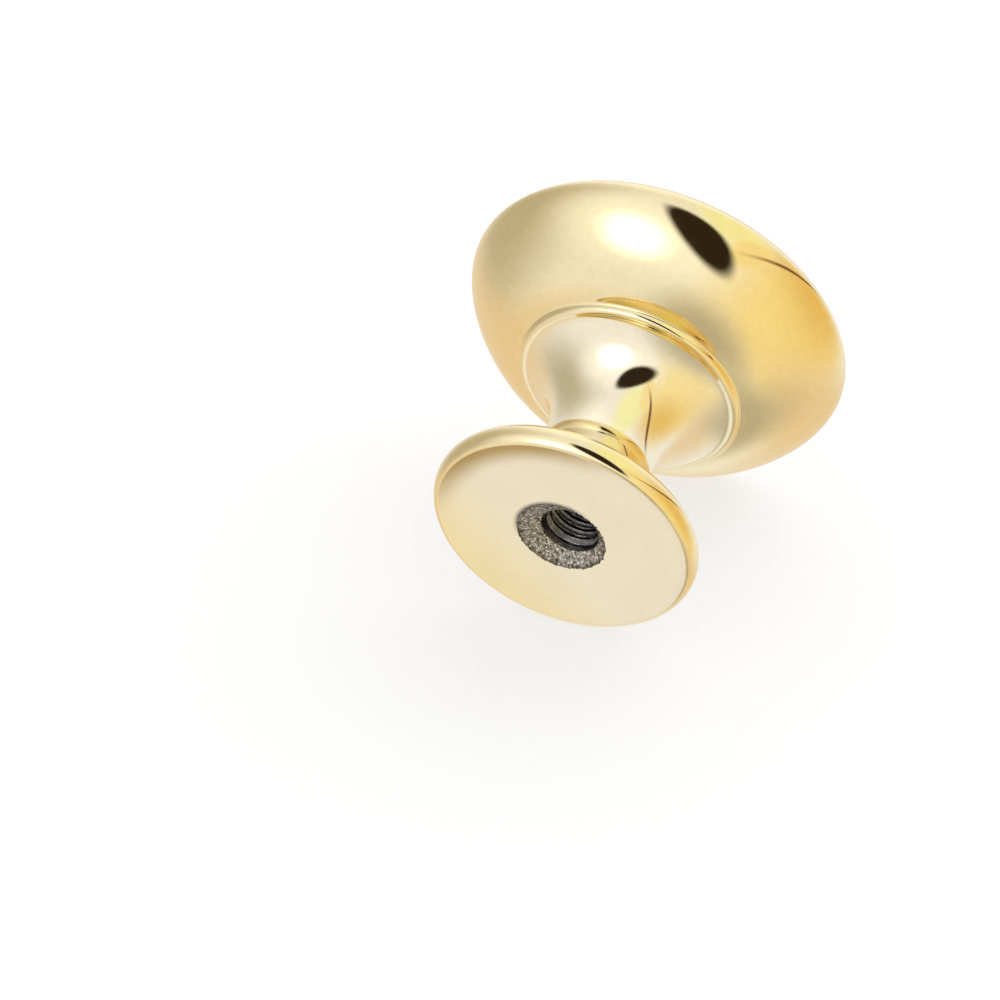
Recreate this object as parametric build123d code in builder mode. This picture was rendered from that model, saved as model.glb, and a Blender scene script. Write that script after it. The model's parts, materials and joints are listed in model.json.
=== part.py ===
from build123d import *
import os
from math import cos, radians, sin, tan

# Round cabinet knob: a disc foot, a waisted neck that flares to a beaded collar, and a bowl-backed
# head with a domed front. It is die-cast in one piece and has a blind screw hole in its foot.
# The knob lies along Y, as it sits on an upright cabinet front: the mounting face is on the plane
# Y = 0 and faces +Y, the head is towards -Y, and +Z is up. All sizes are in millimetres.

# Foot
base_diameter = 18.0
base_thickness = 1.8
base_shoulder = 0.85  # round on the front edge of the foot
base_land = 0.15  # flat ring between that round and the cove
face_inset = 0.43  # how far the flat mounting face stays inside the foot's widest ring
face_edge_round = 0.12  # broken edge round the mounting face

# Neck, from the waist up to the collar bead
waist_diameter = 7.6
waist_height = 7.6  # of the waist over the mounting face
neck_length = 11.65  # from the front of the foot to the middle of the bead
collar_diameter = 15.2
collar_round = 0.4  # radius of the bead
bead_rear_angle = 110.0  # how far the bead wraps towards the neck, from its widest ring
bead_front_angle = 20.0  # how far the bead wraps towards the head, from its widest ring

# Head: a bowl behind the rim and a dome in front of it
head_diameter = 26.0
bowl_depth = 5.85  # from the middle of the bead to the rim
bowl_start_angle = 16.0  # rise of the bowl where it leaves the bead
bowl_fullness = 0.53  # share of the bowl's width over which it keeps to that rise
rim_rear_round = 1.2
rim_front_round = 1.05
dome_height = 4.1
dome_fullness = 0.62  # share of the radius over which the dome stays nearly flat

# Screw hole, drilled for an M4 thread
bore_diameter = 3.3
bore_depth = 12.0
drill_point_angle = 118.0
countersink_diameter = 6.1
countersink_angle = 118.0

# Radii and heights that follow from those sizes, with heights counted from the mounting face
base_radius = base_diameter / 2
waist_radius = waist_diameter / 2
head_radius = head_diameter / 2
bore_radius = bore_diameter / 2
bead_centre_radius = collar_diameter / 2 - collar_round
bead_height = base_thickness + neck_length
rim_height = bead_height + bowl_depth
overall_height = rim_height + dome_height
drill_point_depth = bore_radius / tan(radians(drill_point_angle / 2))


def bead_point(angle):
    """Point on the bead's section, at an angle in degrees from its widest ring."""
    radius = bead_centre_radius + collar_round * cos(radians(angle))
    height = bead_height + collar_round * sin(radians(angle))
    return radius, height


# Corners of the half section, as (radius, height)
face_edge = (base_radius - face_inset, 0)
base_widest = (base_radius, base_thickness - base_shoulder)
shoulder_top = (base_radius - base_shoulder, base_thickness)
cove_foot = (base_radius - base_shoulder - base_land, base_thickness)
waist = (waist_radius, waist_height)
crease = bead_point(-bead_rear_angle)
bowl_start = bead_point(bead_front_angle)
rim = (head_radius, rim_height)
apex = (0, overall_height)

# Pulls of the two free curves of the head
bowl_run = bowl_fullness * (head_radius - bowl_start[0])
bowl_pull = (bowl_start[0] + bowl_run, bowl_start[1] + bowl_run * tan(radians(bowl_start_angle)))
rim_rear_pull = (head_radius, rim_height - rim_rear_round)
rim_front_pull = (head_radius, rim_height + rim_front_round)
dome_pull = (dome_fullness * head_radius, overall_height)

# The half section is drawn with its radius along X and its height along -Y
section_plane = Plane(origin=(0, 0, 0), x_dir=(1, 0, 0), z_dir=(0, 0, -1))
mounting_plane = Plane(origin=(0, 0, 0), z_dir=(0, 1, 0))
bore_end_plane = Plane(origin=(0, -bore_depth, 0), z_dir=(0, -1, 0))

with BuildPart() as knob:
    with BuildSketch(section_plane):
        with BuildLine():
            # Flat mounting face, then the foot's rim: a bevelled curve below and a round above
            Line((0, 0), face_edge)
            TangentArc(base_widest, face_edge, tangent=(0, -1))
            TangentArc(base_widest, shoulder_top, tangent=(0, 1))
            Line(shoulder_top, cove_foot)
            # Neck: a round cove from the foot to the waist and a round flare from there to the crease
            TangentArc(waist, cove_foot, tangent=(0, -1))
            TangentArc(waist, crease, tangent=(0, 1))
            # Collar bead, with a crease on each side of it
            CenterArc(
                center=(bead_centre_radius, bead_height),
                radius=collar_round,
                start_angle=-bead_rear_angle,
                arc_size=bead_rear_angle + bead_front_angle,
            )
            # Head: the bowl behind the rim and the dome in front of it
            Bezier(bowl_start, bowl_pull, rim_rear_pull, rim)
            Bezier(rim, rim_front_pull, dome_pull, apex)
            Line(apex, (0, 0))
        make_face()
    revolve(axis=Axis.Y)

    # Countersunk blind hole with a drilled point at its end
    with Locations(mounting_plane):
        CounterSinkHole(
            radius=bore_radius,
            counter_sink_radius=countersink_diameter / 2,
            depth=bore_depth,
            counter_sink_angle=countersink_angle,
        )
    with Locations(bore_end_plane):
        Cone(
            bottom_radius=bore_radius,
            top_radius=0,
            height=drill_point_depth,
            align=(Align.CENTER, Align.CENTER, Align.MIN),
            mode=Mode.SUBTRACT,
        )

    # The mounting face's outer edge is broken by a small round
    mounting_face = knob.faces().sort_by(Axis.Y)[-1]
    fillet(mounting_face.outer_wire().edges(), radius=face_edge_round)

knob.part.label = "knob"

os.makedirs("parts", exist_ok=True)
export_step(knob.part, "parts/knob.step")
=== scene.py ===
"""Dresses the cabinet knob: a cast body with polished gold plating, a satin mounting face and a tapped hole.

Sizes of the object are in millimetres, counted as radius from the knob's axis and height out from the
mounting face. Directions in the studio are compass angles from straight away from the camera, positive to
its right, and heights above the floor, both in degrees.
"""

import json
import logging
import math
from dataclasses import dataclass
from enum import Enum

import bpy
import numpy as np
from mathutils import Matrix, Quaternion, Vector, noise


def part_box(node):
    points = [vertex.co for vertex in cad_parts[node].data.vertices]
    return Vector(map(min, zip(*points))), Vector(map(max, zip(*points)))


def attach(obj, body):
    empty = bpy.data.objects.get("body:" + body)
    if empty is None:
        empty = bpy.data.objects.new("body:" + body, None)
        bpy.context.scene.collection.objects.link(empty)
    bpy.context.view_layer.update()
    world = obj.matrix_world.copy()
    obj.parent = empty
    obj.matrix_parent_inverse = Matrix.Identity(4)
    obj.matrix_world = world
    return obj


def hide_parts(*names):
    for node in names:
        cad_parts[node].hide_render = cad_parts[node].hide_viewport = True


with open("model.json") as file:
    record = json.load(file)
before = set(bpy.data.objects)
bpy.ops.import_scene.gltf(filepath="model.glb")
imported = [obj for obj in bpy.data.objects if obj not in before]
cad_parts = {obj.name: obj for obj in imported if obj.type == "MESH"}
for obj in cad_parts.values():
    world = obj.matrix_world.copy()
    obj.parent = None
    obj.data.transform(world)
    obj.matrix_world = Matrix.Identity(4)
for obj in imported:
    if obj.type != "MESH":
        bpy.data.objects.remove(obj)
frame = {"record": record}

MM = 0.001
Colour = tuple[float, float, float]
Point = tuple[float, float]
log = logging.getLogger("knob")

# Most values of a noise node lie in this stretch
NOISE_SPREAD = (0.3, 0.7)
# Step in size between the layers of the noise that shapes torn edges, and their number
LAYER_STEP = 2.0
LAYERS = 3


class Surface(Enum):
    """The kinds of surface on the casting, in the order of its material slots."""

    PLATING = 0
    FACE = 1
    BARE = 2
    THREAD = 3


def smooth_step(values: np.ndarray, low: float, high: float) -> np.ndarray:
    """Rise smoothly from 0 to 1.

    Args:
        values: Numbers to judge.
        low: Where the rise starts.
        high: Where the rise ends.

    Returns:
        A share from 0 to 1 for each number.
    """
    share = np.clip((values - low) / (high - low), 0.0, 1.0)
    return share * share * (3.0 - 2.0 * share)


def bezier(start: Point, pull_a: Point, pull_b: Point, end: Point, steps: int) -> list[Point]:
    """Points along a cubic curve.

    Args:
        start: First point.
        pull_a: Control point that the curve leaves towards.
        pull_b: Control point that the curve arrives from.
        end: Last point.
        steps: Number of stretches between points.

    Returns:
        The points, both ends included.
    """
    t = np.linspace(0.0, 1.0, steps + 1)[:, None]
    a, b, c, d = (np.array(p) for p in (start, pull_a, pull_b, end))
    path = (1 - t) ** 3 * a + 3 * t * (1 - t) ** 2 * b + 3 * t**2 * (1 - t) * c + t**3 * d
    return [(float(r), float(h)) for r, h in path]


def arc(centre: Point, radius: float, start: float, end: float, steps: int) -> list[Point]:
    """Points along a circular arc of the half section.

    Args:
        centre: Middle of the circle.
        radius: Its radius.
        start: First angle in degrees, from the direction of growing radius.
        end: Last angle in degrees.
        steps: Number of stretches between points.

    Returns:
        The points, both ends included.
    """
    angles = np.radians(np.linspace(start, end, steps + 1))
    return [(centre[0] + radius * math.cos(a), centre[1] + radius * math.sin(a)) for a in angles]


def upright_arc(upright: Point, end: Point, steps: int) -> list[Point]:
    """Points along an arc that is parallel to the axis at its first point.

    Args:
        upright: First point, where the arc is parallel to the axis.
        end: Last point.
        steps: Number of stretches between points.

    Returns:
        The points, both ends included.
    """
    across, along = end[0] - upright[0], end[1] - upright[1]
    radius = (across**2 + along**2) / (2 * across)
    sweep = math.asin(along / radius)
    angles = np.linspace(0.0, sweep, steps + 1)
    return [(upright[0] + radius * (1 - math.cos(a)), upright[1] + radius * math.sin(a)) for a in angles]


def soften(points: list[Point], spacing: float, width: float) -> list[Point]:
    """Round off the corners of an outline, with its ends kept.

    Args:
        points: The outline.
        spacing: Distance between the new points.
        width: How far the rounding reaches.

    Returns:
        Evenly spaced points.
    """
    path = np.array(points)
    steps = np.hypot(*np.diff(path, axis=0).T)
    along = np.r_[0.0, np.cumsum(steps)]
    even = np.linspace(0.0, along[-1], max(2, round(along[-1] / spacing)) + 1)
    fine = np.stack([np.interp(even, along, path[:, k]) for k in range(2)], axis=1)
    weight = np.exp(-(((even[:, None] - even[None]) / width) ** 2))
    reach = np.minimum(even, even[-1] - even)
    mixed = weight @ fine / weight.sum(axis=1)[:, None]
    share = smooth_step(reach, 0.0, 2.0 * width)[:, None]
    return [(float(r), float(h)) for r, h in fine * (1.0 - share) + mixed * share]


def layered(spot: Vector, hardness: float) -> float:
    """Layered noise at a spot, about 0 on average; a higher hardness weakens its finer layers."""
    return noise.fractal(spot, hardness, LAYER_STEP, LAYERS)


class Graph:
    """A material's node tree, with short calls to add and join its nodes."""

    def __init__(self, name: str) -> None:
        """Start an empty node material with that name."""
        self.material = bpy.data.materials.new(name)
        self.material.use_nodes = True
        self.tree = self.material.node_tree
        self.tree.nodes.clear()
        self.output = self.tree.nodes.new("ShaderNodeOutputMaterial")

    def add(self, kind: str, **inputs: object) -> bpy.types.Node:
        """Add a node and set or link its sockets.

        Args:
            kind: Node type without its ShaderNode prefix.
            **inputs: Socket values by name with underscores for spaces; an output socket is linked.

        Returns:
            The new node.
        """
        node = self.tree.nodes.new("ShaderNode" + kind)
        for key, value in inputs.items():
            socket = node.inputs[key.replace("_", " ")]
            if isinstance(value, bpy.types.NodeSocket):
                self.tree.links.new(value, socket)
            else:
                socket.default_value = value
        return node

    def math(self, operation: str, first: object, second: object = 0.0) -> bpy.types.NodeSocket:
        """Join two numbers or sockets by a math node.

        Args:
            operation: Blender's name of the operation.
            first: Number or output socket.
            second: Number or output socket.

        Returns:
            The result's socket.
        """
        node = self.tree.nodes.new("ShaderNodeMath")
        node.operation = operation
        for socket, value in zip(node.inputs, (first, second)):
            if isinstance(value, bpy.types.NodeSocket):
                self.tree.links.new(value, socket)
            else:
                socket.default_value = value
        return node.outputs[0]

    def ramp(self, value: bpy.types.NodeSocket, low: float, high: float, start: float = 0.0,
             end: float = 1.0) -> bpy.types.NodeSocket:
        """Map a stretch of numbers smoothly onto another.

        Args:
            value: Socket to read.
            low: Where the stretch starts.
            high: Where it ends.
            start: What low becomes.
            end: What high becomes.

        Returns:
            The mapped socket.
        """
        node = self.add("MapRange", Value=value, From_Min=low, From_Max=high, To_Min=start, To_Max=end)
        node.interpolation_type = "SMOOTHSTEP"
        return node.outputs[0]

    def mix(self, share: bpy.types.NodeSocket, first: object, second: object) -> bpy.types.NodeSocket:
        """Blend two colours.

        Args:
            share: How much of the second colour shows.
            first: Colour or socket.
            second: Colour or socket.

        Returns:
            The blended colour's socket.
        """
        node = self.tree.nodes.new("ShaderNodeMix")
        node.data_type = "RGBA"
        self.tree.links.new(share, node.inputs[0])
        for socket, value in zip(node.inputs[6:8], (first, second)):
            if isinstance(value, bpy.types.NodeSocket):
                self.tree.links.new(value, socket)
            else:
                socket.default_value = (*value, 1.0)
        return node.outputs[2]

    def grain(self, size_mm: float, detail: float = 2.0, rough: float = 0.5) -> bpy.types.NodeSocket:
        """Noise fixed to the object.

        Args:
            size_mm: Size of its largest specks.
            detail: Number of finer layers.
            rough: Weight of the finer layers.

        Returns:
            The noise's value socket, about 0.5 on average.
        """
        coords = self.add("TexCoord").outputs["Object"]
        node = self.add("TexNoise", Vector=coords, Scale=1.0 / (size_mm * MM), Detail=detail, Roughness=rough)
        return node.outputs[0]

    def along(self, coords: bpy.types.NodeSocket, side: Colour) -> bpy.types.NodeSocket:
        """How far a point lies towards a side.

        Args:
            coords: Object coordinates in metres.
            side: Unit vector to that side.

        Returns:
            The distance's socket, in millimetres.
        """
        node = self.tree.nodes.new("ShaderNodeVectorMath")
        node.operation = "DOT_PRODUCT"
        self.tree.links.new(coords, node.inputs[0])
        node.inputs[1].default_value = tuple(c / MM for c in side)
        return node.outputs["Value"]

    def from_axis(self, coords: bpy.types.NodeSocket) -> bpy.types.NodeSocket:
        """Distance from the knob's axis.

        Args:
            coords: Object coordinates in metres.

        Returns:
            The distance's socket, in millimetres.
        """
        across = self.along(coords, (1.0, 0.0, 0.0))
        up = self.along(coords, (0.0, 0.0, 1.0))
        squares = self.math("ADD", self.math("POWER", across, 2.0), self.math("POWER", up, 2.0))
        return self.math("SQRT", squares)

    def torn(self, coords: bpy.types.NodeSocket, around: float, per_mm: float) -> bpy.types.NodeSocket:
        """Noise whose specks are drawn out towards the knob's axis.

        Args:
            coords: Object coordinates in metres.
            around: Specks in a radian of turn.
            per_mm: Specks in a millimetre of radius.

        Returns:
            The noise's value socket.
        """
        radius = self.from_axis(coords)
        across = self.math("DIVIDE", self.along(coords, (around, 0.0, 0.0)), radius)
        up = self.math("DIVIDE", self.along(coords, (0.0, 0.0, around)), radius)
        inward = self.math("MULTIPLY", radius, per_mm)
        spot = self.add("CombineXYZ", X=across, Y=up, Z=inward).outputs[0]
        return self.add("TexNoise", Vector=spot, Scale=1.0, Detail=4.0, Roughness=0.65).outputs[0]

    def bump(self, height: bpy.types.NodeSocket, depth_mm: float, strength: float) -> bpy.types.NodeSocket:
        """Turn a height into a bumped normal.

        Args:
            height: Height socket from 0 to 1.
            depth_mm: What a height of 1 stands for.
            strength: Blender's bump strength.

        Returns:
            The normal's socket.
        """
        node = self.add("Bump", Height=height, Distance=depth_mm * MM, Strength=strength)
        return node.outputs[0]

    def close(self, shader: bpy.types.NodeSocket) -> bpy.types.Material:
        """Join the last shader to the output and give the finished material."""
        self.tree.links.new(shader, self.output.inputs["Surface"])
        return self.material


@dataclass(frozen=True)
class GoldPlating:
    """Mirror-polished pale gold plating, paler round the neck, with painted shade as a deeper gold in the
    corner behind the foot.
    """

    full: Colour = (0.95, 0.82, 0.52)
    thin: Colour = (0.95, 0.87, 0.67)
    # painted shade: the deeper gold of the corner behind the foot
    shaded_gold: Colour = (0.82, 0.64, 0.30)
    shade_from_mm: float = 1.7
    shade_blend_mm: float = 0.5
    neck_from_mm: float = 5.0
    neck_blend_mm: float = 1.5
    neck_to_mm: float = 12.9
    collar_blend_mm: float = 0.3
    mottle_mm: float = 0.5
    mottle_value: float = 0.955
    mottle_saturation: float = 1.06
    wear_mm: float = 0.7
    peel_mm: float = 0.9
    peel_depth_mm: float = 0.01
    peel_strength: float = 0.03
    roughness: float = 0.05

    def material(self) -> bpy.types.Material:
        """Make the plating's material.

        Returns:
            The material.
        """
        g = Graph("gold_plating")
        coords = g.add("TexCoord").outputs["Object"]
        out = g.math("MULTIPLY", g.add("SeparateXYZ", Vector=coords).outputs["Y"], -1.0 / MM)
        # painted shade: deeper gold in the corner between the foot and the neck
        corner_shade = g.ramp(out, self.shade_from_mm - self.shade_blend_mm, self.shade_from_mm)
        neck = g.ramp(out, self.neck_from_mm - self.neck_blend_mm, self.neck_from_mm)
        collar = g.ramp(out, self.neck_to_mm, self.neck_to_mm + self.collar_blend_mm)
        tint = g.mix(corner_shade, self.full, self.shaded_gold)
        tint = g.mix(neck, tint, self.thin)
        tint = g.mix(collar, tint, self.full)
        mottle = g.ramp(g.grain(self.mottle_mm, 4.0, 0.7), *NOISE_SPREAD)
        darker = g.add("HueSaturation", Color=tint, Value=self.mottle_value,
                       Saturation=self.mottle_saturation)
        colour = g.mix(mottle, darker.outputs[0], tint)
        rough = g.ramp(g.grain(self.wear_mm), 0.3, 0.8, self.roughness * 0.7, self.roughness * 1.5)
        peel = g.bump(g.grain(self.peel_mm, 1.0), self.peel_depth_mm, self.peel_strength)
        shader = g.add("BsdfPrincipled", Base_Color=colour, Metallic=1.0, Roughness=rough, Normal=peel)
        return g.close(shader.outputs[0])


@dataclass(frozen=True)
class SatinFace:
    """The flat mounting face, plated over a ground surface that stays satin, with a brown band along the
    upper part of its edge.
    """

    cream: Colour = (0.92, 0.81, 0.60)
    yellow: Colour = (0.95, 0.78, 0.43)
    tan: Colour = (0.50, 0.34, 0.13)
    radius_mm: float = 8.57
    edge_band_mm: float = 2.0
    full_edge_band_mm: float = 0.2
    shadow: Colour = (0.16, 0.13, 0.10)
    edge_band_from: float = 0.4
    edge_band_to: float = 0.95
    yellow_from: float = 0.1
    lip_mm: float = 2.95
    lip_blend_mm: float = 0.45
    lip_from: float = 0.15
    lip_to: float = 0.95
    cloud_mm: float = 4.0
    cloud_value: float = 0.955
    wear_mm: float = 0.25
    skin_mm: float = 0.12
    skin_depth_mm: float = 0.004
    skin_strength: float = 0.02
    edge_band_side: Colour = (0.5, 0.0, 0.87)
    yellow_side: Colour = (0.75, 0.0, -0.66)
    roughness: float = 0.26

    def material(self) -> bpy.types.Material:
        """Make the face's material.

        Returns:
            The material.
        """
        g = Graph("satin_face")
        coords = g.add("TexCoord").outputs["Object"]
        low = g.ramp(g.along(coords, self.yellow_side), self.yellow_from * self.radius_mm, self.radius_mm)
        colour = g.mix(low, self.cream, self.yellow)
        # brown band along the upper part of the face's edge
        inner = self.radius_mm - self.edge_band_mm
        rim = g.ramp(g.from_axis(coords), inner, self.radius_mm - self.full_edge_band_mm)
        towards = g.along(coords, self.edge_band_side)
        high = g.ramp(towards, self.edge_band_from * self.radius_mm, self.edge_band_to * self.radius_mm)
        colour = g.mix(g.math("MULTIPLY", rim, high), colour, self.tan)
        lip = g.ramp(g.from_axis(coords), self.lip_mm, self.lip_mm + self.lip_blend_mm, 1.0, 0.0)
        near = g.ramp(towards, self.lip_from * self.lip_mm, self.lip_to * self.lip_mm)
        colour = g.mix(g.math("MULTIPLY", lip, near), colour, self.shadow)
        clouds = g.ramp(g.grain(self.cloud_mm, 3.0, 0.55), *NOISE_SPREAD, self.cloud_value, 1.0)
        colour = g.add("HueSaturation", Color=colour, Value=clouds).outputs[0]
        rough = g.ramp(g.grain(self.wear_mm), *NOISE_SPREAD, self.roughness * 0.9, self.roughness * 1.1)
        skin = g.bump(g.grain(self.skin_mm), self.skin_depth_mm, self.skin_strength)
        shader = g.add("BsdfPrincipled", Base_Color=colour, Metallic=1.0, Roughness=rough, Normal=skin)
        return g.close(shader.outputs[0])


@dataclass(frozen=True)
class BareZinc:
    """Bare torn zinc in the countersink, granular, with crumbs drawn out towards the hole, and painted shade
    darkening it at the hole's mouth.
    """

    dark: Colour = (0.035, 0.028, 0.02)
    middle: Colour = (0.33, 0.30, 0.25)
    pale: Colour = (0.85, 0.83, 0.78)
    grain_mm: float = 0.16
    crumbs_round: float = 14.0
    crumbs_per_mm: float = 4.5
    dark_to: float = 0.38
    middle_at: float = 0.50
    pale_from: float = 0.60
    mouth_mm: float = 3.05
    # painted shade at the hole's mouth: its width, and how far it darkens
    brink_shade_mm: float = 0.35
    brink_shade_share: float = 0.65
    wear_mm: float = 0.1
    pit_depth_mm: float = 0.12
    pit_strength: float = 0.9
    roughness: float = 0.34

    def material(self) -> bpy.types.Material:
        """Make the bare metal's material.

        Returns:
            The material.
        """
        g = Graph("bare_zinc")
        coords = g.add("TexCoord").outputs["Object"]
        crumbs = g.torn(coords, self.crumbs_round, self.crumbs_per_mm)
        grains = g.math("MULTIPLY", g.math("ADD", crumbs, g.grain(self.grain_mm, 3.0, 0.6)), 0.5)
        colour = g.mix(g.ramp(grains, self.dark_to, self.middle_at), self.dark, self.middle)
        colour = g.mix(g.ramp(grains, self.middle_at, self.pale_from), colour, self.pale)
        # painted shade: darker towards the hole's mouth, where the countersink meets the face
        brink_shade = g.ramp(g.from_axis(coords), self.mouth_mm - self.brink_shade_mm, self.mouth_mm)
        colour = g.mix(g.math("MULTIPLY", brink_shade, self.brink_shade_share), colour, self.dark)
        rough = g.ramp(g.grain(self.wear_mm), *NOISE_SPREAD, self.roughness * 0.6, self.roughness * 1.4)
        pits = g.bump(grains, self.pit_depth_mm, self.pit_strength)
        shader = g.add("BsdfPrincipled", Base_Color=colour, Metallic=1.0, Roughness=rough, Normal=pits)
        return g.close(shader.outputs[0])


@dataclass(frozen=True)
class CutThread:
    """The cut screw thread: darker and smoother than the torn countersink."""

    dark: Colour = (0.12, 0.115, 0.115)
    pale: Colour = (0.30, 0.29, 0.29)
    score_mm: float = 0.35
    wear_mm: float = 0.2
    nick_depth_mm: float = 0.03
    nick_strength: float = 0.4
    roughness: float = 0.24

    def material(self) -> bpy.types.Material:
        """Make the thread's material.

        Returns:
            The material.
        """
        g = Graph("cut_thread")
        scores = g.grain(self.score_mm, 4.0, 0.65)
        colour = g.mix(g.ramp(scores, 0.4, 0.75), self.dark, self.pale)
        rough = g.ramp(g.grain(self.wear_mm), *NOISE_SPREAD, self.roughness * 0.7, self.roughness * 1.4)
        nicks = g.bump(scores, self.nick_depth_mm, self.nick_strength)
        shader = g.add("BsdfPrincipled", Base_Color=colour, Metallic=1.0, Roughness=rough, Normal=nicks)
        return g.close(shader.outputs[0])


@dataclass
class Ring:
    """A ring of the casting's mesh: radii by turn, height, the surface that ends at it and its middle."""

    radii: np.ndarray
    height: float
    kind: Surface
    middle: Point = (0.0, 0.0)
    sharp: bool = False


@dataclass
class ScrewHole:
    """The countersunk blind hole with its screw thread, as radii by depth and turn."""

    bore_radius: float
    bore_length: float
    mouth_radius: float = 3.05
    countersink_angle: float = 118.0
    thread_radius: float = 2.0
    pitch: float = 0.7
    thread_depth: float = 7.0
    crest_flat: float = 0.25
    root_flat: float = 0.125
    lead_slope: float = 0.4
    drill_point_angle: float = 118.0
    rows_per_turn: int = 10
    sink_rows: int = 24
    thread_offset: Point = (-0.38, -0.03)
    ragged: float = 0.1
    crumb: float = 0.08
    wide_share: float = 0.6
    wide_scale: float = 2.2
    wide_shift: Colour = (3.1, 0.4, 7.7)
    teeth_scale: float = 13.0
    teeth_shift: Colour = (0.0, 0.0, 5.0)
    crumb_scale: float = 10.0
    drawn_scale: float = 5.0
    tear_hardness: float = 0.8

    def __post_init__(self) -> None:
        """Work out the depths that follow from the angles."""
        self.sink_slope = math.tan(math.radians(self.countersink_angle / 2))
        self.lead_depth = (self.mouth_radius - self.thread_radius) / self.sink_slope
        self.depth = self.bore_length + (self.mouth_radius - self.bore_radius) / self.sink_slope
        self.tip_depth = self.depth + self.bore_radius / math.tan(math.radians(self.drill_point_angle / 2))

    def thread(self, turn: np.ndarray, depth: float) -> np.ndarray:
        """Radius of the cut thread, whose first turns are worn back to a short cone.

        Args:
            turn: Angles round the axis as shares of a full turn.
            depth: Depth below the mounting face.

        Returns:
            The radius at each angle.
        """
        phase = np.abs(((depth / self.pitch - turn) % 1.0) * 2.0 - 1.0)
        cut = np.clip((phase - self.crest_flat) / (1.0 - self.crest_flat - self.root_flat), 0.0, 1.0)
        runout = 1.0 - smooth_step(np.array(depth), self.thread_depth - self.pitch, self.thread_depth)
        lead = self.thread_radius - (depth - self.lead_depth) * self.lead_slope
        return np.maximum(self.bore_radius + (self.thread_radius - self.bore_radius) * cut * runout, lead)

    def sink(self, turn: np.ndarray, depth: float) -> np.ndarray:
        """Radius of the torn countersink, with crumbs on its wall and a ragged mouth.

        Args:
            turn: Angles round the axis as shares of a full turn.
            depth: Depth below the mounting face.

        Returns:
            The radius at each angle.
        """
        cone = self.mouth_radius - depth * self.sink_slope
        mouth = 1.0 - depth / self.lead_depth
        radii = []
        for share in turn:
            angle = 2 * math.pi * share
            spot = Vector((math.cos(angle), math.sin(angle), 0.0))
            drawn = Vector((0.0, 0.0, cone * self.drawn_scale))
            wide = noise.noise(spot * self.wide_scale + Vector(self.wide_shift))
            teeth = layered(spot * self.teeth_scale + Vector(self.teeth_shift), self.tear_hardness)
            crumbs = layered(spot * self.crumb_scale + drawn, self.tear_hardness)
            edge = self.ragged * mouth * (self.wide_share * wide + teeth)
            radii.append(cone + edge + self.crumb * (1.0 - mouth) * crumbs)
        return np.array(radii)

    def rows(self, turn: np.ndarray) -> list[Ring]:
        """Rings of the hole's wall from its bottom up to the mounting face.

        Args:
            turn: Angles round the axis as shares of a full turn.

        Returns:
            The rings; the thread lies a little off the axis and the countersink leads over to it.
        """
        step = self.pitch / self.rows_per_turn
        drilled = [self.depth, (self.depth + self.thread_depth) / 2]
        cut = drilled + list(np.arange(self.thread_depth, self.lead_depth, -step))
        torn = np.linspace(self.lead_depth, 0.0, self.sink_rows + 1)
        x, z = self.thread_offset
        rings = [Ring(self.thread(turn, depth), depth, Surface.THREAD, (x, z)) for depth in cut]
        for depth in torn:
            share = depth / self.lead_depth
            rings.append(Ring(self.sink(turn, depth), depth, Surface.BARE, (x * share, z * share)))
        return rings


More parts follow.
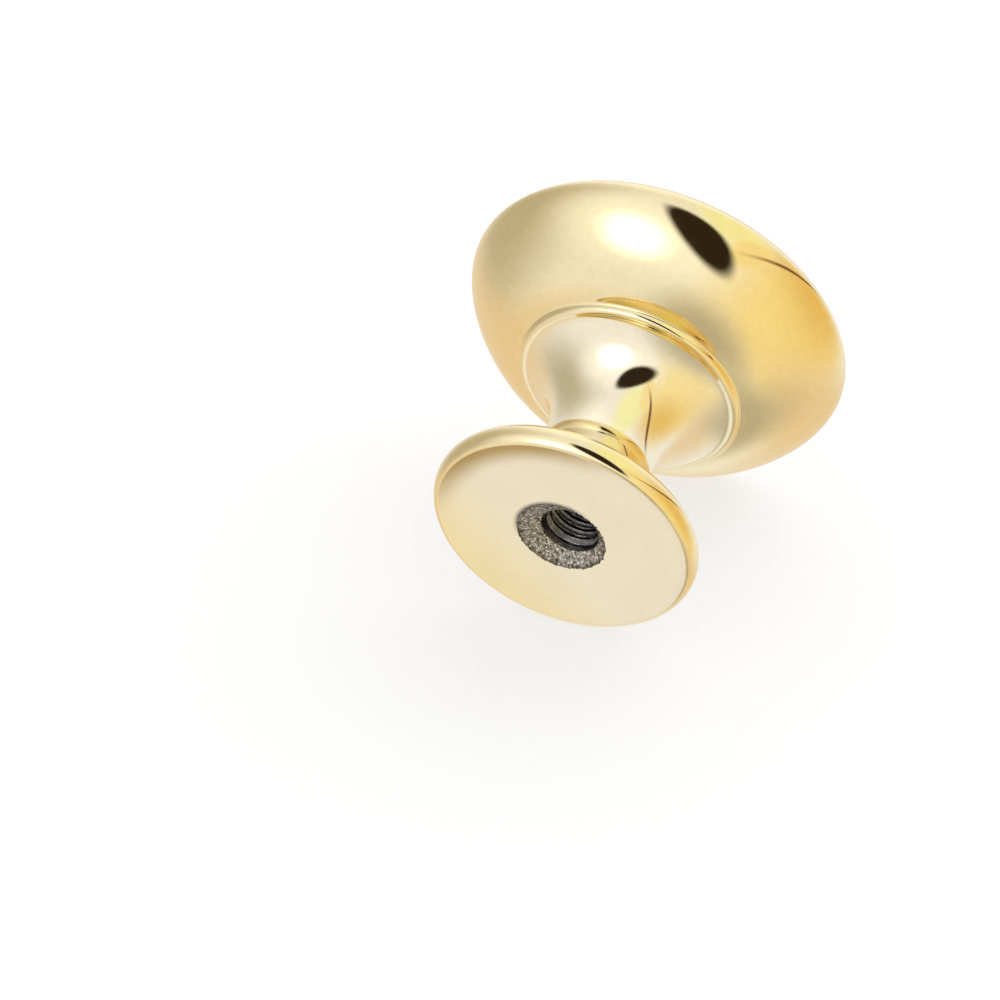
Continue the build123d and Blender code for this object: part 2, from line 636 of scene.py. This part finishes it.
@dataclass
class KnobSection:
    """Half section of the casting outside its hole."""

    head_radius: float
    overall_height: float
    base_radius: float = 9.0
    base_thickness: float = 1.8
    base_shoulder: float = 0.85
    base_land: float = 0.15
    face_inset: float = 0.43
    waist_radius: float = 3.8
    waist_height: float = 7.6
    bead_centre_radius: float = 7.2
    bead_height: float = 13.45
    bead_radius: float = 0.4
    bead_rear_angle: float = 110.0
    bead_front_angle: float = 20.0
    rim_height: float = 19.3
    bowl_start_angle: float = 16.0
    bowl_fullness: float = 0.53
    rim_rear_round: float = 1.2
    rim_front_round: float = 1.05
    dome_fullness: float = 0.62
    crease_round: float = 0.16
    collar_spacing: float = 0.07
    bevel_steps: int = 16
    shoulder_steps: int = 18
    cove_steps: int = 40
    flare_steps: int = 60
    bead_steps: int = 22
    bowl_steps: int = 60
    dome_steps: int = 40
    collar_from: int = 44  # point of the flare where the softened collar starts
    collar_to: int = 16  # point of the bowl where it ends

    def bead_point(self, angle: float) -> Point:
        """Point on the bead at an angle in degrees from its widest ring."""
        return arc((self.bead_centre_radius, self.bead_height), self.bead_radius, angle, angle, 1)[0]

    def outline(self) -> list[Point]:
        """Points of the outline from just beyond the mounting face's edge to the middle of the dome.

        Returns:
            Radius and height of each point.
        """
        shoulder = self.base_radius - self.base_shoulder
        widest = (self.base_radius, self.base_thickness - self.base_shoulder)
        cove_foot = (shoulder - self.base_land, self.base_thickness)
        waist = (self.waist_radius, self.waist_height)
        face_edge = (self.base_radius - self.face_inset, 0.0)
        foot = upright_arc(widest, face_edge, self.bevel_steps)[::-1][1:]
        foot += arc((shoulder, widest[1]), self.base_shoulder, 0.0, 90.0, self.shoulder_steps)[1:]
        foot += upright_arc(waist, cove_foot, self.cove_steps)[::-1]
        flare = upright_arc(waist, self.bead_point(-self.bead_rear_angle), self.flare_steps)
        bead = arc((self.bead_centre_radius, self.bead_height), self.bead_radius, -self.bead_rear_angle,
                   self.bead_front_angle, self.bead_steps)
        start = bead[-1]
        run = self.bowl_fullness * (self.head_radius - start[0])
        pull = (start[0] + run, start[1] + run * math.tan(math.radians(self.bowl_start_angle)))
        rim = (self.head_radius, self.rim_height)
        rim_rear = (rim[0], rim[1] - self.rim_rear_round)
        rim_front = (rim[0], rim[1] + self.rim_front_round)
        dome_pull = (self.dome_fullness * self.head_radius, self.overall_height)
        apex = (0.0, self.overall_height)
        bowl = bezier(start, pull, rim_rear, rim, self.bowl_steps)
        dome = bezier(rim, rim_front, dome_pull, apex, self.dome_steps)
        creased = flare[self.collar_from:] + bead[1:] + bowl[1:self.collar_to]
        collar = soften(creased, self.collar_spacing, self.crease_round)
        return foot + flare[1:self.collar_from + 1:2] + collar + bowl[self.collar_to:] + dome[1:]


@dataclass
class CastKnob:
    """The whole casting: outline, screw hole and finishes."""

    section: KnobSection
    hole: ScrewHole
    segments: int = 240
    face_rings: int = 12
    burr_width: float = 0.1
    burr_depth: float = 0.03
    burr_scale: float = 40.0
    burr_shift: float = 3.0
    burr_hardness: float = 0.7
    burr_rings: tuple[Point, ...] = ((0.45, 0.012), (0.9, 0.035))  # share of its width, and height

    def build(self) -> bpy.types.Object:
        """Spin the outline into one closed mesh.

        Returns:
            The casting's object, with a material index on each face.
        """
        turn = np.arange(self.segments) / self.segments
        rings = self.hole.rows(turn)
        rings[-1].sharp = True
        mouth = rings[-1].radii
        edge = self.section.base_radius - self.section.face_inset
        for share in np.linspace(0.0, 1.0, self.face_rings + 1)[1:]:
            rings.append(Ring(mouth + (edge - self.burr_width - mouth) * share, 0.0, Surface.FACE))
        rings += self.burr(turn, edge)
        for radius, height in self.section.outline():
            rings.append(Ring(np.full_like(turn, radius), height, Surface.PLATING))
        return self.mesh(turn, rings[:-1])

    def burr(self, turn: np.ndarray, edge: float) -> list[Ring]:
        """Uneven round on the mounting face's edge.

        Args:
            turn: Angles round the axis as shares of a full turn.
            edge: Radius of the sharp edge that it takes off.

        Returns:
            Its rings, from the face outwards.
        """
        angles = 2 * math.pi * turn
        spots = [Vector((math.cos(a), math.sin(a), 0.0)) * self.burr_scale for a in angles]
        rings = []
        for number, (share, height) in enumerate(self.burr_rings):
            lift = Vector((0.0, 0.0, self.burr_shift * number))
            uneven = np.array([layered(spot + lift, self.burr_hardness) for spot in spots])
            radii = edge - self.burr_width * (1.0 - share) + self.burr_depth * uneven
            rings.append(Ring(radii, height, Surface.PLATING))
        return rings

    def mesh(self, turn: np.ndarray, rings: list[Ring]) -> bpy.types.Object:
        """Join rings of points into a closed mesh with a point at each end.

        Args:
            turn: Angles round the axis as shares of a full turn.
            rings: The rings, from the bottom of the hole to the middle of the dome.

        Returns:
            The object.
        """
        angle = 2 * math.pi * turn
        n = self.segments
        x, z = rings[0].middle
        points = [np.array([[x, -self.hole.tip_depth, z]])]
        for ring in rings:
            across = ring.middle[0] + ring.radii * np.cos(angle)
            up = ring.middle[1] + ring.radii * np.sin(angle)
            points.append(np.stack([across, np.full(n, -ring.height), up], axis=1))
        points.append(np.array([[0.0, -self.section.overall_height, 0.0]]))
        last, top = 1 + n * len(rings), 1 + n * (len(rings) - 1)
        faces = [(0, 1 + k, 1 + (k + 1) % n) for k in range(n)]
        kinds = [Surface.THREAD.value] * n
        for number, ring in enumerate(rings[1:]):
            low, high = 1 + number * n, 1 + (number + 1) * n
            faces += [(low + k, high + k, high + (k + 1) % n, low + (k + 1) % n) for k in range(n)]
            kinds += [ring.kind.value] * n
        faces += [(last, top + (k + 1) % n, top + k) for k in range(n)]
        kinds += [Surface.PLATING.value] * n
        data = bpy.data.meshes.new("cast_knob")
        data.from_pydata((np.vstack(points) * MM).tolist(), [], faces)
        data.polygons.foreach_set("use_smooth", [True] * len(data.polygons))
        data.polygons.foreach_set("material_index", kinds)
        sharp = {1 + number * n for number, ring in enumerate(rings) if ring.sharp}
        for edge in data.edges:
            a, b = ((v - 1) // n * n + 1 for v in edge.vertices)
            edge.use_edge_sharp = a == b and a in sharp
        data.validate()
        piece = bpy.data.objects.new("cast_knob", data)
        bpy.context.scene.collection.objects.link(piece)
        return piece

    def dress(self, piece: bpy.types.Object) -> None:
        """Give the casting its finishes.

        Args:
            piece: The casting's object.
        """
        for finish in (GoldPlating(), SatinFace(), BareZinc(), CutThread()):
            piece.data.materials.append(finish.material())


class Tone(Enum):
    """The tones of the studio's cloths, as the light that they give back."""

    KEY = (2.5, 2.5, 2.5)
    GLOW = (1.15, 1.15, 1.15)
    PLAIN = (0.95, 0.95, 0.95)
    LEMON = (1.0, 1.0, 0.6)
    CREAM = (1.0, 0.85, 0.45)
    TAN = (0.85, 0.7, 0.5)
    AMBER = (0.85, 0.6, 0.2)
    GREY = (0.55, 0.5, 0.4)
    BROWN = (0.2, 0.1, 0.05)
    BLACK = (0.03, 0.02, 0.01)


@dataclass(frozen=True)
class Panel:
    """A soft-edged oval patch of the light tent, turned by its tilt."""

    name: str
    azimuth: float
    elevation: float
    half_width: float
    half_height: float
    edge: float
    tone: Tone
    tilt: float = 0.0

    def cover(self, directions: np.ndarray) -> np.ndarray:
        """Share of the patch that shows in each direction.

        Args:
            directions: Unit vectors in the studio's axes.

        Returns:
            Shares from 0 to 1.
        """
        ahead = direction(self.azimuth, self.elevation)
        side = direction(self.azimuth + 90.0, 0.0)
        over = np.cross(side, ahead)
        x = np.degrees(np.arctan2(directions @ side, directions @ ahead))
        y = np.degrees(np.arcsin(np.clip(directions @ over, -1.0, 1.0)))
        c, s = math.cos(math.radians(self.tilt)), math.sin(math.radians(self.tilt))
        reach = np.hypot((c * x + s * y) / self.half_width, (c * y - s * x) / self.half_height)
        return 1.0 - smooth_step(reach, 1.0 - self.edge, 1.0 + self.edge)


def direction(azimuth: float, elevation: float) -> np.ndarray:
    """Unit vector of a direction in the studio's axes: right, away from the camera, up."""
    a, e = math.radians(azimuth), math.radians(elevation)
    return np.array([math.sin(a) * math.cos(e), math.cos(a) * math.cos(e), math.sin(e)])


# Cloths of the tent, each laid over the ones before it
PANELS = (
    Panel("back_softbox", -5, 35, 45, 30, 0.8, Tone.GLOW),
    Panel("left_shade", -60, 5, 35, 50, 0.8, Tone.GREY),
    Panel("right_wall", 130, -10, 45, 50, 0.6, Tone.CREAM),
    Panel("right_shade", 100, 0, 25, 30, 0.9, Tone.AMBER),
    Panel("ground_right", 70, -60, 50, 15, 0.7, Tone.TAN),
    Panel("ground_left", -60, -50, 60, 20, 0.7, Tone.TAN),
    Panel("ground_front", 170, -65, 25, 20, 0.7, Tone.GREY),
    Panel("front_shade", 185, -20, 20, 25, 0.7, Tone.GREY),
    Panel("face_fill", -130, -60, 20, 15, 0.6, Tone.PLAIN),
    Panel("right_roof", 100, 55, 35, 20, 0.5, Tone.LEMON),
    Panel("key_glow", -145, 45, 40, 20, 0.8, Tone.GLOW),
    Panel("key_softbox", -140, 40, 15, 10, 0.8, Tone.KEY),
    Panel("front_flap", 130, 35, 20, 10, 0.3, Tone.CREAM),
    Panel("seam", 95, 15, 40, 2, 0.5, Tone.BROWN, 30),
    Panel("camera_slit", 170, 50, 12, 28, 0.2, Tone.BLACK, -20),
)
FLOOR_KEY = Panel("floor_key", 40, 45, 45, 30, 0.6, Tone.KEY)
# What the floor gets from the rest of the tent
FLOOR_FILL = 0.75


@dataclass
class Studio:
    """The light tent round the knob, the pale floor under it and the camera that looks at it."""

    eye_mm: tuple[float, float, float] = (-120.02, 271.68, 339.42)
    aim_mm: tuple[float, float, float] = (4.186, -0.394, 1.826)
    roll: float = -6.36
    lens: float = 252.0
    sensor: float = 36.0
    floor_tilt: float = 12.286
    floor_drop_mm: float = 8.62
    near_clip: float = 0.01
    far_clip: float = 10.0
    tent_radius: float = 2.0
    tent_columns: int = 720
    tent_rows: int = 360
    tent_end: float = 89.5
    floor_radius: float = 1.6
    floor_corners: int = 64
    floor_colour: Colour = (0.9, 0.9, 0.9)
    floor_white: float = 0.7
    middle_mm: tuple[float, float, float] = (0.0, -11.7, 0.0)

    def __post_init__(self) -> None:
        """Work out the studio's axes from the floor's tilt and the camera's place."""
        tilt = math.radians(self.floor_tilt)
        self.up = Vector((0.0, -math.sin(tilt), math.cos(tilt)))
        look = (Vector(self.aim_mm) - Vector(self.eye_mm)).normalized()
        self.away = (look - look.dot(self.up) * self.up).normalized()
        self.right = self.away.cross(self.up)
        self.axes = Matrix((self.right, self.away, self.up)).transposed()

    def camera(self) -> bpy.types.Object:
        """Place the camera at the photograph's viewing angle.

        Returns:
            The camera's object.
        """
        data = bpy.data.cameras.new("camera")
        data.lens = self.lens
        data.sensor_width = self.sensor
        data.clip_start = self.near_clip
        data.clip_end = self.far_clip
        camera = bpy.data.objects.new("camera", data)
        look = Vector(self.aim_mm) - Vector(self.eye_mm)
        turn = Quaternion((0.0, 0.0, 1.0), math.radians(self.roll))
        camera.rotation_mode = "QUATERNION"
        camera.rotation_quaternion = look.to_track_quat("-Z", "Y") @ turn
        camera.location = Vector(self.eye_mm) * MM
        bpy.context.scene.collection.objects.link(camera)
        bpy.context.scene.camera = camera
        return camera

    def emitter(self, name: str) -> bpy.types.Material:
        """Make a material that glows in its vertices' own colours, and in plain white on the floor.

        Args:
            name: Name of the material.

        Returns:
            The material.
        """
        g = Graph(name)
        glow, wash = g.add("Attribute"), g.add("Attribute")
        glow.attribute_name, wash.attribute_name = "glow", "wash"
        on_floor = g.add("LightPath").outputs["Is Diffuse Ray"]
        colour = g.mix(on_floor, glow.outputs["Color"], wash.outputs["Color"])
        shader = g.add("Emission", Color=colour, Strength=1.0).outputs[0]
        g.material.cycles.emission_sampling = "NONE"
        return g.close(shader)

    def tent(self) -> bpy.types.Object:
        """Hang the tent: a large ball, painted with its soft panels, that only the object and the floor see.

        Returns:
            The tent's object.
        """
        across, along = self.tent_columns, self.tent_rows
        azimuths = np.radians(np.arange(across) * 360.0 / across)
        elevations = np.radians(np.linspace(-self.tent_end, self.tent_end, along))
        a, e = np.meshgrid(azimuths, elevations)
        ways = np.stack([np.sin(a) * np.cos(e), np.cos(a) * np.cos(e), np.sin(e)], axis=-1).reshape(-1, 3)
        glow = np.tile(np.array(Tone.PLAIN.value), (len(ways), 1))
        for panel in PANELS:
            share = panel.cover(ways)[:, None]
            glow = glow * (1.0 - share) + np.array(panel.tone.value) * share
        share = FLOOR_KEY.cover(ways)[:, None]
        wash = FLOOR_FILL * (1.0 - share) + np.array(FLOOR_KEY.tone.value) * share
        faces = []
        for row in range(along - 1):
            low, high = row * across, (row + 1) * across
            pairs = [(k, (k + 1) % across) for k in range(across)]
            faces += [(low + k, low + after, high + after, high + k) for k, after in pairs]
        data = bpy.data.meshes.new("tent")
        data.from_pydata((ways * self.tent_radius).tolist(), [], faces)
        for layer, paint in (("glow", glow), ("wash", wash)):
            values = np.c_[paint, np.ones(len(paint))].astype(np.float32)
            data.attributes.new(layer, "FLOAT_COLOR", "POINT").data.foreach_set("color", values.ravel())
        data.materials.append(self.emitter("tent_glow"))
        tent = bpy.data.objects.new("tent", data)
        tent.matrix_world = Matrix.Translation(Vector(self.middle_mm) * MM) @ self.axes.to_4x4()
        bpy.context.scene.collection.objects.link(tent)
        tent.visible_camera = False
        tent.visible_shadow = False
        return tent

    def floor(self) -> bpy.types.Object:
        """Lay the pale floor under the foot and the head's rim.

        Returns:
            The floor's object.
        """
        g = Graph("floor")
        lit = g.add("BsdfDiffuse", Color=(*self.floor_colour, 1.0))
        white = g.add("Emission", Color=(1.0, 1.0, 1.0, 1.0), Strength=1.0)
        camera = g.add("LightPath").outputs["Is Camera Ray"]
        share = g.math("MULTIPLY", camera, self.floor_white)
        blend = g.add("MixShader", Fac=share)
        g.tree.links.new(lit.outputs[0], blend.inputs[1])
        g.tree.links.new(white.outputs[0], blend.inputs[2])
        data = bpy.data.meshes.new("floor")
        angles = [2 * math.pi * k / self.floor_corners for k in range(self.floor_corners)]
        ring = [(self.floor_radius * math.cos(a), self.floor_radius * math.sin(a), 0.0) for a in angles]
        data.from_pydata(ring, [], [tuple(range(self.floor_corners))])
        data.materials.append(g.close(blend.outputs[0]))
        floor = bpy.data.objects.new("floor", data)
        drop = self.up * (-self.floor_drop_mm * MM)
        floor.matrix_world = Matrix.Translation(drop) @ self.axes.to_4x4()
        bpy.context.scene.collection.objects.link(floor)
        floor.visible_glossy = False
        return floor

    def backdrop(self) -> None:
        """Fill the view behind the floor with plain white."""
        world = bpy.data.worlds.new("backdrop")
        bpy.context.scene.world = world
        world.use_nodes = True
        shade = world.node_tree.nodes["Background"]
        shade.inputs["Color"].default_value = (1.0, 1.0, 1.0, 1.0)
        shade.inputs["Strength"].default_value = 1.0

    def set_up(self) -> None:
        """Build the whole studio."""
        self.camera()
        self.tent()
        self.floor()
        self.backdrop()
        bpy.context.scene.view_settings.view_transform = "Standard"


def main() -> None:
    """Build the knob, dress it and set up the studio."""
    logging.basicConfig(level=logging.INFO, format="%(name)s: %(message)s")
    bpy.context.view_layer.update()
    low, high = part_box("knob")
    bore = next(m for m in frame["record"]["mounts"] if m["name"] == "screw_bore")
    section = KnobSection(head_radius=(high.x - low.x) / 2 / MM, overall_height=(high.y - low.y) / MM)
    hole = ScrewHole(bore_radius=bore["dims"]["r_mm"], bore_length=bore["dims"]["length_mm"])
    knob = CastKnob(section, hole)
    piece = knob.build()
    knob.dress(piece)
    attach(piece, "root")
    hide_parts("knob")
    log.info("%s: %d faces", piece.name, len(piece.data.polygons))
    Studio().set_up()


if __name__ == "__main__":
    main()
